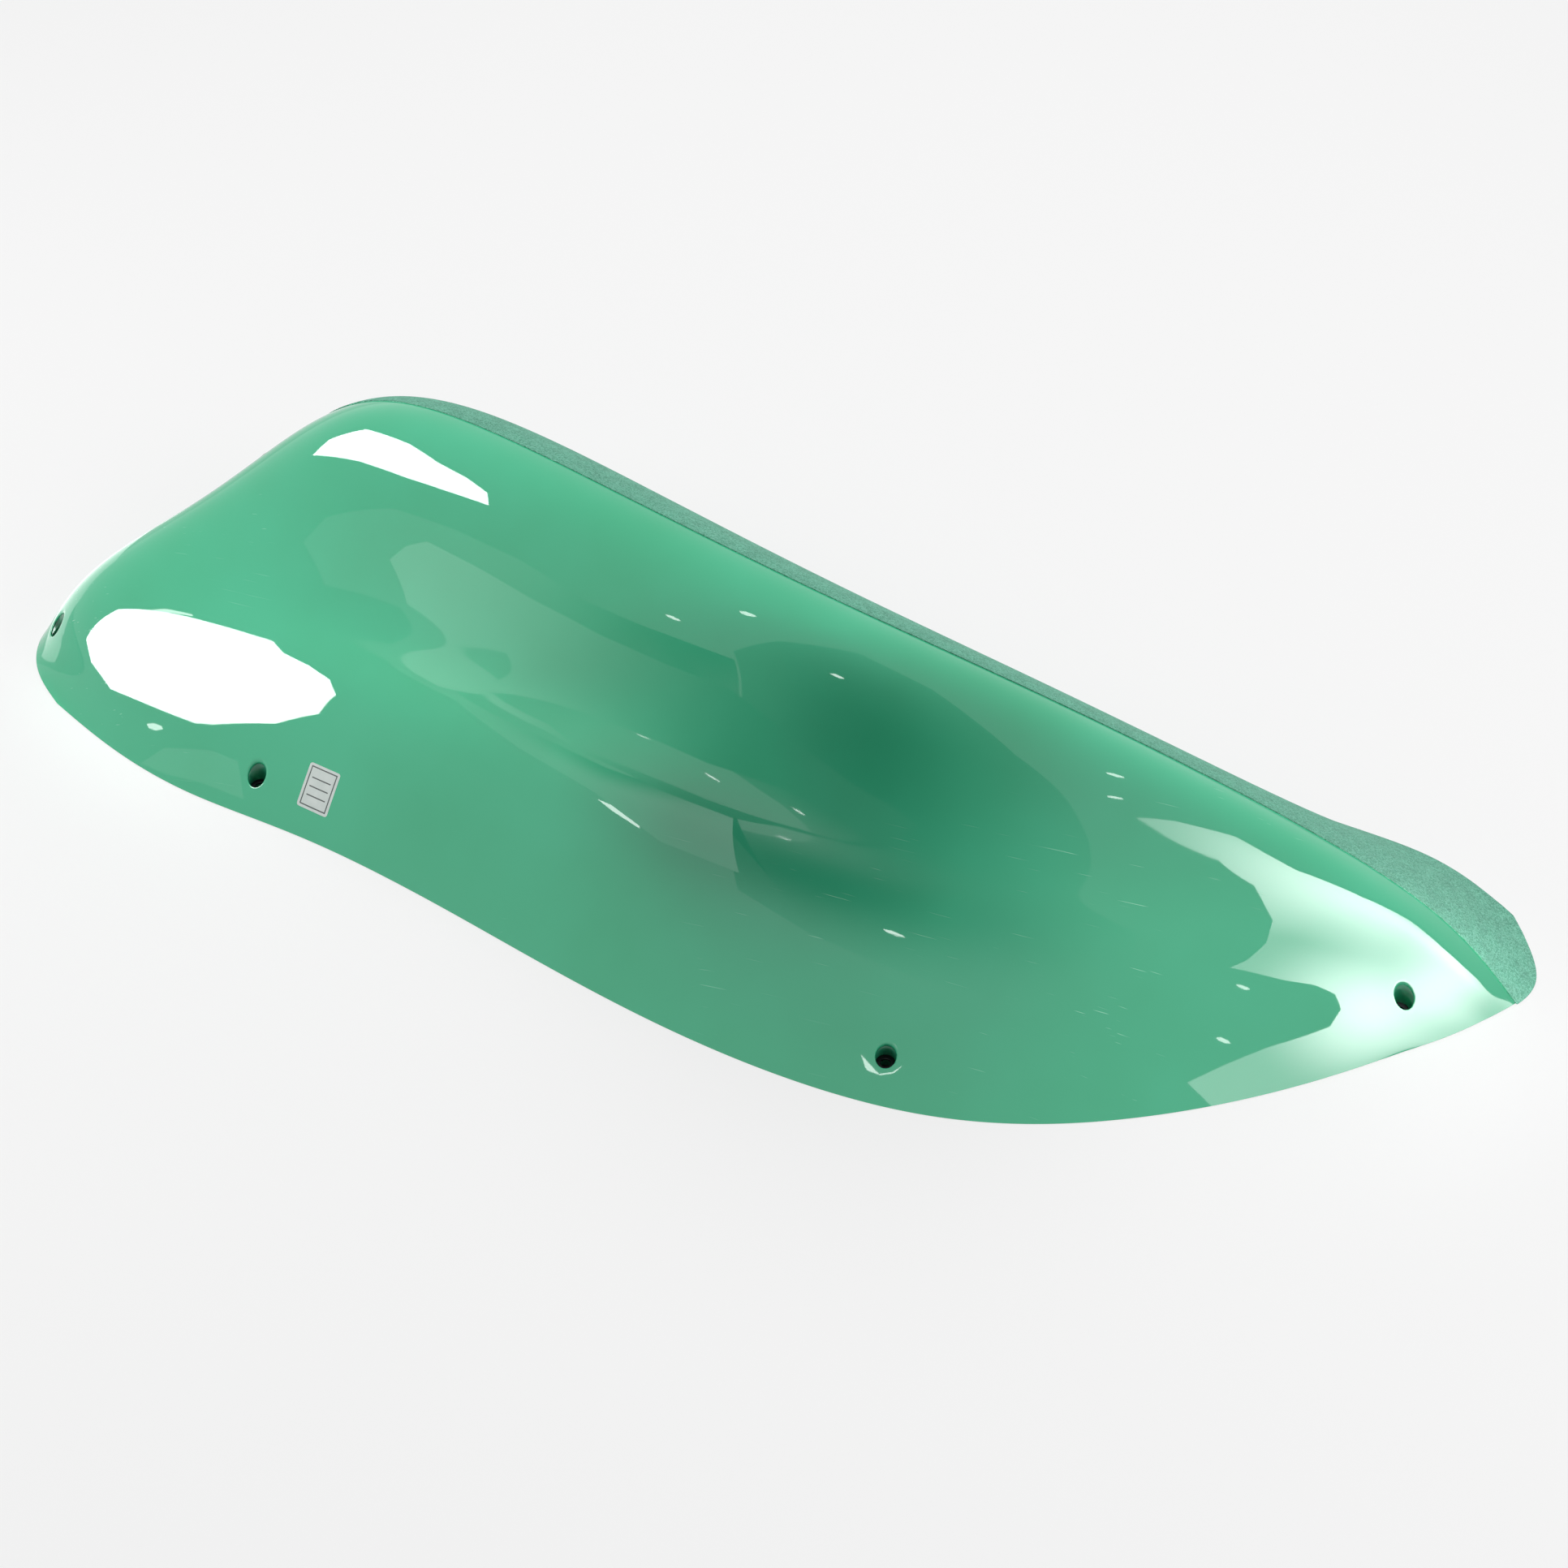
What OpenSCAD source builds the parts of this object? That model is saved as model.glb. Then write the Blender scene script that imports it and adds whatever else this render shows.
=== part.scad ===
// Hollow glass-fibre climbing-wall macro with a glossy face and a gritty back slope.
// The open back lies on the wall plane z = 0, and +Z points out of the wall.
// +X runs along the body to its pointed end, and +Y crosses it to the gritty side.

/* [Body] */
// Length over both ends of the body
body_length = 1132; // [1062:10:1202]
// Height of the crest above the wall
crest_height = 171; // [161:2:191]

/* [Laminate] */
// Thickness of the coloured gelcoat
gelcoat_t = 0.8; // [0.6:0.1:1]
// Thickness of the glass and resin laminate behind the gelcoat
laminate_t = 4.2; // [3.6:0.2:5]
// Thickness of the sprayed grit coat
grit_t = 0.8; // [0.6:0.1:1.2]

/* [Screw wells] */
// Inner diameter of a moulded screw well
well_d = 14; // [13:0.5:15]
// Wall thickness of a screw well
well_wall = 3; // [2.5:0.5:3.5]
// Thickness of the floor under the screw head
well_floor = 6; // [5:0.5:8]
// Diameter of the screw hole in floor and washer
screw_hole_d = 6.8; // [6.4:0.1:7]
// Thickness of the steel washer
washer_t = 1.6; // [1.2:0.2:2]

/* [Ribs] */
// Thickness of a plywood rib
rib_t = 12; // [9:1:15]
// Gap between the foot of a rib and the wall
rib_setback = 2; // [1:0.5:4]
// Width of the glass tape along the edge of a rib
tape_w = 18; // [12:1:24]

/* [Label] */
// Width of the blank label
label_w = 26; // [20:1:30]
// Height of the blank label
label_h = 33; // [26:1:36]

/* [Hidden] */
// Eight long rails shape the body. Each runs from the broad end to the pointed end, and
// is pulled smooth by a cubic B-spline. Their ends follow the outline on the wall.
near_rim = [[-560, -36, 0], [-500, -66, 0], [-425, -90, 0], [-330, -98, 0], [-205, -130, 0],
    [-30, -186, 0], [155, -208, 0], [290, -162, 0], [390, -102, 0], [450, -54, 0]];
near_side = [[-595, -10, 0], [-535, -25, 25], [-445, -55, 30], [-340, -65, 30], [-200, -105, 30],
    [-30, -150, 25], [140, -165, 25], [290, -125, 20], [400, -70, 20], [470, -39, 0]];
near_lip = [[-610, 30, 0], [-575, 10, 60], [-465, -10, 75], [-345, -10, 75], [-195, -40, 85],
    [-20, -90, 75], [140, -105, 50], [300, -65, 50], [415, -35, 40], [486, -25, 0]];
scoop = [[-590, 75, 0], [-560, 60, 85], [-470, 35, 85], [-370, 40, 75], [-195, 25, 65],
    [-10, -5, 50], [150, -30, 40], [310, -10, 60], [425, -10, 50], [495, -16, 0]];
inner_slope = [[-535, 135, 0], [-515, 115, 95], [-445, 90, 105], [-365, 100, 130], [-190, 75, 105],
    [-15, 50, 80], [150, 30, 70], [315, 30, 75], [440, 5, 55], [501, -10, 0]];
crest = [[-480, 185, 0], [-465, 175, 105], [-415, 165, 170], [-345, 160, 200], [-180, 130, 175],
    [-15, 105, 145], [150, 85, 120], [320, 55, 85], [458, 17, 55], [507, -4, 0]];
far_side = [[-435, 220, 0], [-430, 225, 75], [-380, 240, 135], [-300, 240, 145], [-155, 205, 120],
    [-10, 175, 90], [155, 140, 70], [325, 105, 50], [461, 74, 30], [537, 29, 0]];
far_rim = [[-395, 240, 0], [-355, 260, 0], [-315, 270, 0], [-235, 270, 0], [-120, 250, 0],
    [15, 220, 0], [175, 185, 0], [335, 130, 0], [450, 125, 0], [506, 81, 0]];
rails = [near_rim, near_side, near_lip, scoop, inner_slope, crest, far_side, far_rim];

// The rails above give a body of this length and height
drawn_length = 1132;
drawn_height = 171;
plan_scale = body_length / drawn_length;
height_scale = crest_height / drawn_height;
// This step along the wall puts the origin under the middle of the body
centring = [38, -36];
function on_wall(c) = (c + centring) * plan_scale;

// Centres of the screw wells on the wall, anticlockwise from the broad end
well_centres = [[-580, 16], [-376, -71], [122, -169], [442, -27], [300, 125], [140, 160],
    [-150, 222], [-462, 158]];
// Places of the plywood ribs along the body
rib_places = [-320, -70, 200];
// The label sits on the near side beside the second well
label_centre = [-325, -75];

// Grid of the body: cells along the rails, across the glossy face and across the gritty side
cells_along = 63;
cells_glossy = 22;
cells_gritty = 8;
cells_across = cells_glossy + cells_gritty;
// Place of the seam between the two finishes, counted in rails
seam_rail = 5.3;
seam = seam_rail / (len(rails) - 1);
// Below this height the wall thickness turns from square-on to level, so the rim stays flat
rim_blend = 25;

shell_t = gelcoat_t + laminate_t;
well_r = well_d / 2;
well_outer_r = well_r + well_wall;
hole_r = screw_hole_d / 2;
washer_r = well_r - 0.3;
tape_t = 2;
label_t = 0.4;
label_corner = 2;
window = 3;
above_all = 400;
round_steps = 48;

well_count = len(well_centres);
rib_count = len(rib_places);

gel_colour = "mediumaquamarine";
grit_colour = "cadetblue";
laminate_colour = "darkseagreen";

// Cubic B-spline through a list of points, with its ends held by mirrored points
function padded(p) = concat([2 * p[0] - p[1]], p, [2 * p[len(p) - 1] - p[len(p) - 2]]);
function weights(t) = [pow(1 - t, 3), 3 * pow(t, 3) - 6 * t * t + 4,
    -3 * pow(t, 3) + 3 * t * t + 3 * t + 1, pow(t, 3)] / 6;
function blend(q, k, w) = q[k] * w[0] + q[k + 1] * w[1] + q[k + 2] * w[2] + q[k + 3] * w[3];
function curve(p, s) =
    let (spans = len(p) - 1, k = min(floor(s * spans), spans - 1))
    blend(padded(p), k, weights(s * spans - k));

function placed(p) = concat(on_wall([p[0], p[1]]), [p[2] * height_scale]);
function across(j) = j <= cells_glossy
    ? seam * j / cells_glossy
    : seam + (1 - seam) * (j - cells_glossy) / cells_gritty;
face = [for (i = [0:cells_along])
    let (ring = [for (rail = rails) curve(rail, i / cells_along)])
    [for (j = [0:cells_across]) placed(curve(ring, across(j)))]];

// Outward direction at a grid point, taken one cell in from every edge
function unit(a) = a / norm(a);
function inside(k, last) = max(1, min(last - 1, k));
function facing(i, j) =
    let (a = inside(i, cells_along), b = inside(j, cells_across))
    unit(cross(face[a + 1][b] - face[a - 1][b], face[a][b + 1] - face[a][b - 1]));
outward = [for (i = [0:cells_along]) [for (j = [0:cells_across]) facing(i, j)]];

// Grid point at a depth under the outer face; a negative depth lies outside
function under(i, j, depth) =
    let (p = face[i][j], n = outward[i][j], f = min(1, p[2] / rim_blend),
        m = unit([n[0], n[1], n[2] * f]))
    p - m * depth / (m * n);

// Closed solid of a window of the grid, from its upper points down to its lower points
module grid_solid(upper, lower) {
    rows = len(upper);
    cols = len(upper[0]);
    count = rows * cols;
    points = concat([for (row = upper) each row], [for (row = lower) each row]);
    function at(i, j) = i * cols + j;
    top = [for (i = [0:rows - 2]) for (j = [0:cols - 2])
        each [[at(i, j), at(i, j + 1), at(i + 1, j + 1)], [at(i, j), at(i + 1, j + 1), at(i + 1, j)]]];
    bottom = [for (f = top) [f[2], f[1], f[0]] + [count, count, count]];
    function strip(a, b) = [[a, b, b + count], [a, b + count, a + count]];
    sides = concat(
        [for (i = [0:rows - 2]) each strip(at(i, 0), at(i + 1, 0))],
        [for (i = [0:rows - 2]) each strip(at(i + 1, cols - 1), at(i, cols - 1))],
        [for (j = [0:cols - 2]) each strip(at(0, j + 1), at(0, j))],
        [for (j = [0:cols - 2]) each strip(at(rows - 1, j), at(rows - 1, j + 1))]);
    polyhedron(points, concat(top, bottom, sides));
}

function layer(i0, i1, j0, j1, depth) =
    [for (i = [i0:i1]) [for (j = [j0:j1]) under(i, j, depth)]];

// Skin between two depths over a window of the grid
module skin(i0, i1, j0, j1, depth0, depth1) {
    grid_solid(layer(i0, i1, j0, j1, depth0), layer(i0, i1, j0, j1, depth1));
}

// Solid column from a layer of the shell down past the wall plane
module column(i0, i1, j0, j1, depth) {
    top = layer(i0, i1, j0, j1, depth);
    grid_solid(top, [for (row = top) [for (p = row) [p[0], p[1], -1]]]);
}

// Grid index nearest to a place on the wall
function gap(i, j, c) = norm([face[i][j][0] - c[0], face[i][j][1] - c[1]]);
function nearest(c) =
    let (reach = [for (i = [0:cells_along]) for (j = [0:cells_across]) [gap(i, j, c), i, j]],
        least = min([for (r = reach) r[0]]))
    [for (r = reach) if (r[0] == least) [r[1], r[2]]][0];
function low(k) = max(0, k - window);
function high(k, last) = min(last, k + window);

function well_centre(k) = on_wall(well_centres[k]);
function rib_place(k) = on_wall([rib_places[k], 0])[0];

module at_well(k) {
    translate([well_centre(k)[0], well_centre(k)[1], 0]) children();
}

module well_bores(radius, from_z) {
    for (k = [0:well_count - 1])
        at_well(k) translate([0, 0, from_z])
            cylinder(r = radius, h = above_all, $fn = round_steps);
}

module gelcoat() {
    color(gel_colour) difference() {
        skin(0, cells_along, 0, cells_across, 0, gelcoat_t);
        well_bores(well_r, 1);
    }
}

module laminate() {
    color(laminate_colour) difference() {
        skin(0, cells_along, 0, cells_across, gelcoat_t, shell_t);
        well_bores(well_outer_r, -1);
    }
}

module grit_coat() {
    color(grit_colour) difference() {
        skin(0, cells_along, cells_glossy, cells_across, -grit_t, 0);
        well_bores(well_r, 1);
    }
}

// Moulded cup that carries one screw down to the wall
module screw_well(k) {
    c = nearest(well_centre(k));
    color(gel_colour) difference() {
        intersection() {
            column(low(c[0]), high(c[0], cells_along), low(c[1]), high(c[1], cells_across), gelcoat_t);
            at_well(k) cylinder(r = well_outer_r, h = above_all, $fn = round_steps);
        }
        at_well(k) translate([0, 0, well_floor]) cylinder(r = well_r, h = above_all, $fn = round_steps);
        at_well(k) translate([0, 0, -1]) cylinder(r = hole_r, h = above_all, $fn = round_steps);
    }
}

module washer(k) {
    color("silver") at_well(k) translate([0, 0, well_floor]) difference() {
        cylinder(r = washer_r, h = washer_t, $fn = round_steps);
        translate([0, 0, -1]) cylinder(r = hole_r, h = washer_t + 2, $fn = round_steps);
    }
}

// Grid lines across the body that a slab at one rib meets
function leftmost(i) = min([for (p = face[i]) p[0]]);
function rightmost(i) = max([for (p = face[i]) p[0]]);
function met_by_slab(k, reach) =
    let (x = rib_place(k))
    [for (i = [0:cells_along]) if (leftmost(i) < x + reach && rightmost(i) > x - reach) i];

// The hollow behind the shell near one rib, less a depth all round
module hollow(k, depth) {
    met = met_by_slab(k, depth + rib_t);
    column(min(met) - 1, max(met) + 1, 0, cells_across, depth);
}

// Slab across the body at one rib
module slab(k, thickness, foot) {
    translate([rib_place(k) - thickness / 2, -above_all, foot])
        cube([thickness, 2 * above_all, above_all]);
}

module plywood_rib(k) {
    color("burlywood") intersection() {
        slab(k, rib_t, rib_setback);
        hollow(k, shell_t);
    }
}

// Glass tape that bonds both faces of a rib to the shell
module rib_tape(k) {
    color(laminate_colour) difference() {
        intersection() {
            slab(k, rib_t + 2 * tape_t, rib_setback);
            hollow(k, shell_t);
        }
        slab(k, rib_t, 0);
        hollow(k, shell_t + tape_w);
    }
}

// Blank printed film, curved with the face
module label() {
    middle = on_wall(label_centre);
    c = nearest(middle);
    n = outward[c[0]][c[1]];
    turn = atan2(n[1], n[0]);
    tilt = acos(n[2]);
    color("whitesmoke") intersection() {
        skin(low(c[0]), high(c[0], cells_along), low(c[1]), high(c[1], cells_across), -label_t, 0);
        translate([middle[0], middle[1], face[c[0]][c[1]][2]])
            rotate([0, tilt, turn])
                linear_extrude(height = 60, center = true)
                    union() {
                        square([label_h - 2 * label_corner, label_w], center = true);
                        square([label_h, label_w - 2 * label_corner], center = true);
                        for (x = [-1, 1])
                            for (y = [-1, 1])
                                translate([x * (label_h / 2 - label_corner), y * (label_w / 2 - label_corner)])
                                    circle(r = label_corner, $fn = 24);
                    }
    }
}

gelcoat();
grit_coat();
laminate();
label();
for (k = [1:well_count])
    screw_well(k - 1);
for (k = [1:well_count])
    washer(k - 1);
for (k = [1:rib_count])
    plywood_rib(k - 1);
for (k = [1:rib_count])
    rib_tape(k - 1);
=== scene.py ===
import math

import bmesh
import bpy
import numpy as np
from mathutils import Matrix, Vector


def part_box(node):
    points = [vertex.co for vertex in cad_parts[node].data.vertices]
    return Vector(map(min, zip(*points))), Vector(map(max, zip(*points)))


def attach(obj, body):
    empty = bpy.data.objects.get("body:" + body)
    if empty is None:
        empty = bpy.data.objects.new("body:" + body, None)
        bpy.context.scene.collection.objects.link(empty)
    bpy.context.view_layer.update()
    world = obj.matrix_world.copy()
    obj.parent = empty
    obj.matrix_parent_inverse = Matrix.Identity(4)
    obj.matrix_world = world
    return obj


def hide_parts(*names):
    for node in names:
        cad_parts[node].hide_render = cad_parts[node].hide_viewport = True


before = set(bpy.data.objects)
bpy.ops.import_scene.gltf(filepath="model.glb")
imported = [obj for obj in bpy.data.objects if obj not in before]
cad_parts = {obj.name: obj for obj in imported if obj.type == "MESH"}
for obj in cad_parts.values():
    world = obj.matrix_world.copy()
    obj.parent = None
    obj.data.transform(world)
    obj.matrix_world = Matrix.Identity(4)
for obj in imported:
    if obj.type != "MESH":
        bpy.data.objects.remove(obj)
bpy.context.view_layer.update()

# Camera. It stands in front of the near rim, a little to the pointed end, and looks down on the
# face at about fifty degrees, far enough back for a flat, quiet perspective.
camera_target = Vector((0.038, -0.036, 0.060))
camera_azimuth = math.radians(17)
camera_elevation = math.radians(50)
camera_distance = 1.70
camera_way = Vector((math.sin(camera_azimuth) * math.cos(camera_elevation),
                     -math.cos(camera_azimuth) * math.cos(camera_elevation),
                     math.sin(camera_elevation)))
bpy.ops.object.camera_add(location=camera_target + camera_way * camera_distance)
camera = bpy.context.object
camera.name = "camera"
camera.rotation_euler = camera_way.to_track_quat("Z", "Y").to_euler()
camera.data.sensor_width = 36
camera.data.lens = 55.9
camera.data.clip_end = 90
bpy.context.scene.camera = camera


# Floor and studio. The macro lies with its open back on a matt white shooting table, which glows a
# little from below, so shadows are faint. Windows, a softbox and a pale room show in the gloss.
def colour(code):
    parts = [int(code[k:k + 2], 16) / 255 for k in (1, 3, 5)]
    return [c / 12.92 if c <= 0.04045 else ((c + 0.055) / 1.055) ** 2.4 for c in parts] + [1.0]


def add_node(tree, kind, settings={}, links={}):
    node = tree.nodes.new(kind)
    for name, value in settings.items():
        if isinstance(name, int) or name in node.inputs.keys():
            node.inputs[name].default_value = value
        else:
            setattr(node, name, value)
    for name, source in links.items():
        tree.links.new(source, node.inputs[name])
    return node


def new_material(name):
    material = bpy.data.materials.new(name)
    material.use_nodes = True
    tree = material.node_tree
    tree.nodes.clear()
    return material, tree


bpy.ops.object.select_all(action="DESELECT")
table_side = 56
table_drop = 0.0006
bpy.ops.mesh.primitive_plane_add(size=table_side, location=(0, 0, -table_drop))
floor = bpy.context.object
floor.name = "floor"
floor_paint, tree = new_material("matt_white_acrylic_table")
shader = add_node(tree, "ShaderNodeBsdfPrincipled",
                  {"Base Color": colour("#7c7c7c"), "Roughness": 0.9, "Specular IOR Level": 0.1,
                   "Emission Strength": 0.70, "Emission Color": (1, 1, 1, 1)})
add_node(tree, "ShaderNodeOutputMaterial", {}, {"Surface": shader.outputs[0]})
floor.data.materials.append(floor_paint)

world = bpy.data.worlds.new("studio_room")
world.use_nodes = True
world.node_tree.nodes["Background"].inputs["Color"].default_value = (1, 1, 1, 1)
world.node_tree.nodes["Background"].inputs["Strength"].default_value = 0.225
bpy.context.scene.world = world
bpy.context.scene.view_settings.view_transform = "Standard"


def fill_lamp(name, way, distance, aim, size, power):
    """A soft lamp that lights the body and the floor but shows in no gloss. It shines back along way, its
    azimuth from the far side and its elevation in degrees."""
    azimuth, elevation = math.radians(way[0]), math.radians(way[1])
    out = Vector((math.sin(azimuth) * math.cos(elevation), math.cos(azimuth) * math.cos(elevation),
                  math.sin(elevation)))
    bpy.ops.object.light_add(type="AREA", location=Vector(aim) + out * distance)
    lamp = bpy.context.object
    lamp.name = name
    lamp.rotation_euler = out.to_track_quat("Z", "Y").to_euler()
    lamp.data.shape = "SQUARE"
    lamp.data.size = size
    lamp.data.energy = power
    lamp.visible_camera = False
    lamp.visible_glossy = False


def add_mesh(name, points, edges, faces):
    """A new object from its points, edges and faces. It is left as the only one selected."""
    mesh = bpy.data.meshes.new(name)
    mesh.from_pydata(points, edges, faces)
    made = bpy.data.objects.new(name, mesh)
    bpy.context.scene.collection.objects.link(made)
    bpy.ops.object.select_all(action="DESELECT")
    made.select_set(True)
    bpy.context.view_layer.objects.active = made
    return made


def soft_spot(tree, place, centre, half_sizes, turn):
    """A factor of one at the centre of an oval and nought at its edge, in mm and degrees."""
    oval = add_node(tree, "ShaderNodeMapping", {"vector_type": "TEXTURE", "Location": Vector(centre) / 1000,
                                                "Rotation": (0, 0, math.radians(turn)),
                                                "Scale": Vector(half_sizes) / 1000},
                    {"Vector": place.outputs["Object"]})
    fall = add_node(tree, "ShaderNodeTexGradient", {"gradient_type": "SPHERICAL"},
                    {"Vector": oval.outputs[0]})
    return add_node(tree, "ShaderNodeMapRange", {"interpolation_type": "SMOOTHSTEP"},
                    {"Value": fall.outputs["Fac"]}).outputs[0]


def gloss_panel(name, outlines, strength, lobes=(), cover=None):
    """A lit panel, with its outlines in mm, that shows only in the gloss. Each lobe, given as its centre,
    half sizes, turn and strength, brightens a soft oval of it. Outside the oval cover the panel is clear."""
    points = [Vector(point) / 1000 for outline in outlines for point in outline]
    faces = []
    for outline in outlines:
        first = sum(len(face) for face in faces)
        faces.append(list(range(first, first + len(outline))))
    panel = add_mesh(name, points, [], faces)
    panel.visible_camera = panel.visible_diffuse = panel.visible_shadow = panel.visible_transmission = False
    paint, tree = new_material(name + "_light")
    place = add_node(tree, "ShaderNodeTexCoord")
    glow = add_node(tree, "ShaderNodeEmission", {"Color": (1, 1, 1, 1), "Strength": strength})
    total = None
    for centre, half_sizes, turn, added in lobes:
        spot = soft_spot(tree, place, centre, half_sizes, turn)
        links = {0: spot} if total is None else {0: spot, 2: total.outputs[0]}
        total = add_node(tree, "ShaderNodeMath", {"operation": "MULTIPLY_ADD", 1: added, 2: strength}, links)
    if total:
        tree.links.new(total.outputs[0], glow.inputs["Strength"])
    surface = glow.outputs[0]
    if cover:
        clear = add_node(tree, "ShaderNodeBsdfTransparent")
        mixed = add_node(tree, "ShaderNodeMixShader", {},
                         {0: soft_spot(tree, place, *cover), 1: clear.outputs[0], 2: surface})
        surface = mixed.outputs[0]
    add_node(tree, "ShaderNodeOutputMaterial", {}, {"Surface": surface})
    panel.data.materials.append(paint)


fill_lamp("fill_broad_end", (-112, 48), 1.5, (-0.50, 0, 0.06), 0.9, 13)
fill_lamp("fill_pointed_end", (95, 48), 1.5, (0.50, 0, 0.06), 0.9, 12)
fill_lamp("fill_far_side", (5, 60), 2.2, (0, 0.1, 0.06), 1.8, 27)
gloss_panel("window_broad_end",
            [[(-560, -59, 50), (-529, -33, 101), (-487, -30, 120), (-451, -24, 128), (-415, -21, 131),
              (-375, -19, 130), (-365, -29, 128), (-344, -34, 127), (-326, -45, 124), (-321, -66, 119),
              (-332, -95, 102), (-363, -113, 85), (-416, -123, 67), (-434, -123, 62), (-479, -113, 51),
              (-525, -97, 36), (-550, -77, 37)]], 22)
gloss_panel("window_crest",
            [[(-390, 96, 162), (-380, 112, 171), (-347, 121, 186), (-303, 106, 193), (-275, 91, 189),
              (-250, 83, 185), (-232, 74, 180), (-229, 64, 172), (-265, 67, 174), (-298, 71, 175),
              (-343, 82, 175)]], 22)
gloss_panel("softbox_pointed_end",
            [[(277, -31, 140), (312, -29, 130), (341, -27, 121), (371, -32, 112), (392, -45, 103),
              (394, -61, 100), (386, -81, 99), (377, -91, 100), (418, -95, 87), (445, -93, 79),
              (465, -97, 72), (479, -109, 66), (481, -126, 63), (465, -138, 65), (439, -156, 70),
              (414, -177, 74), (393, -196, 77), (452, -218, 56), (512, -194, 42), (574, -152, 30),
              (624, -94, 24), (652, -54, 22), (596, -14, 46), (540, -11, 65), (500, -1, 79),
              (452, -12, 91), (399, -16, 106), (352, -8, 122), (307, -20, 133)]], 5,
            [((470, -22, 85), (200, 38, 300), 0, 13), ((505, -100, 57), (125, 82, 300), 0, 14),
             ((565, -45, 50), (80, 60, 300), 0, 11)])
gloss_panel("skylight_reflection",
            [[(-301, 18, 138), (-291, 25, 145), (-276, 28, 149), (-239, 21, 143), (-183, 10, 133),
              (-129, 1, 126), (-78, -5, 121), (-25, -10, 117), (31, -22, 108), (74, -29, 102),
              (111, -34, 98), (133, -38, 95), (101, -44, 85), (56, -42, 86), (10, -48, 90),
              (-42, -44, 94), (-94, -33, 98), (-143, -15, 101), (-192, -3, 111), (-238, -4, 120),
              (-279, 2, 126)]], 0.3,
            [((-290, 10, 130), (310, 300, 300), 0, 2.8)])
gloss_panel("doorway_reflection",
            [[(-379, 20, 146), (-368, 32, 156), (-341, 35, 162), (-313, 37, 168), (-259, 30, 164),
              (-206, 20, 157), (-150, 6, 144), (-97, 0, 139), (-30, -5, 135), (-17, -22, 119),
              (8, -29, 96), (27, -106, 108), (-38, -106, 112), (-94, -70, 114), (-161, -47, 115),
              (-220, -14, 114), (-285, 0, 127), (-349, 1, 136)]], 1.8,
            [((-45, 0, 140), (190, 55, 300), 0, -1.5)])
gloss_panel("dark_corner",
            [[(-34, -8, 146), (0, 11, 163), (64, 37, 174), (120, 24, 164), (185, -17, 140),
              (247, -37, 121), (299, -64, 107), (311, -141, 96), (246, -164, 95), (161, -162, 102),
              (85, -153, 109), (26, -131, 116), (10, -28, 103), (-19, -24, 128)]], 0.1,
            cover=((80, -45, 120), (270, 155, 300), 0))
gloss_panel("far_wall_reflection",
            [[(-601, -20, -5), (-590, 14, -20), (-567, 30, 11), (-541, 58, 34), (-510, 90, 60),
              (-490, 109, 66), (-512, 88, 53), (-544, 42, 77), (-568, 0, 58), (-580, -35, 21),
              (-585, -49, 9)]], 2.2)
gloss_panel("low_wall_reflection",
            [[(-473, -134, 21), (-453, -128, 35), (-406, -130, 49), (-383, -134, 50), (-372, -154, 33),
              (-409, -147, 32), (-445, -142, 25)]], 1.9)
gloss_panel("downlights",
            [[(-30.2, 32.8, 168.3), (-24.6, 35.4, 169.3), (-17.6, 35.4, 168.4), (-15.9, 34.2, 167.2),
              (-22.3, 31.3, 166.1), (-28.5, 30.9, 166.7)],
             [(-87.3, 9.5, 149.1), (-82.9, 9.7, 149.3), (-76.6, 8.8, 148.5), (-74.7, 7.9, 147.5),
              (-80, 7.7, 147.4), (-85.5, 8.5, 148.2)],
             [(41.7, 4, 143.8), (46.1, 5.2, 144.5), (52.5, 4.5, 143.8), (53.4, 3.4, 143),
              (48.9, 2.6, 142.6), (43.5, 3.3, 143.3)],
             [(253.8, 4.9, 137.5), (259.4, 7.9, 137.5), (266.5, 9.3, 136.5), (268.2, 8, 135.5),
              (261.6, 4.4, 135.4), (255.5, 3.6, 136.5)],
             [(254.7, -18, 125.9), (259.3, -16.5, 126.6), (265.5, -15.4, 126.7), (267.2, -16, 126.1),
              (261.8, -17.6, 125.4), (256.4, -18.5, 125.3)],
             [(135.8, -114.3, 98.7), (141.1, -112.7, 98.1), (149.2, -115.1, 96.8), (152.1, -117.8, 96.3),
              (146, -119.3, 97), (138.8, -117, 98.1)],
             [(385.7, -107.3, 87.9), (390, -106.9, 87.5), (396.3, -108.5, 85.6), (398.3, -110, 84.4),
              (394.1, -110.9, 84.5), (388.6, -109.3, 86.2)],
             [(386.7, -151.1, 65.9), (391, -149.9, 65.3), (397.4, -150.6, 62.8), (399.4, -152, 61.5),
              (394.9, -153, 62.3), (389.5, -152.4, 64.3)],
             [(-474, -114.5, 37.9), (-466.8, -115, 41.1), (-458.6, -117.2, 43.1), (-457.1, -118.8, 42.2),
              (-464.1, -118.7, 38.7), (-471.5, -116.7, 37)],
             [(-484, -27, 112), (-469, -22, 117), (-443, -20, 121), (-442, -22, 120), (-468, -26, 116)],
             [(-91, -79, 114), (-75, -79, 114), (-55, -95, 113), (-55, -99, 113), (-77, -89, 114)],
             [(138, -232, 59), (143, -239, 55), (154, -240, 54), (164, -236, 56), (171, -230, 60),
              (165.2, -236.5, 55.7), (155.3, -240.4, 53.8), (144.5, -240.2, 54.4)]], 12)
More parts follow.
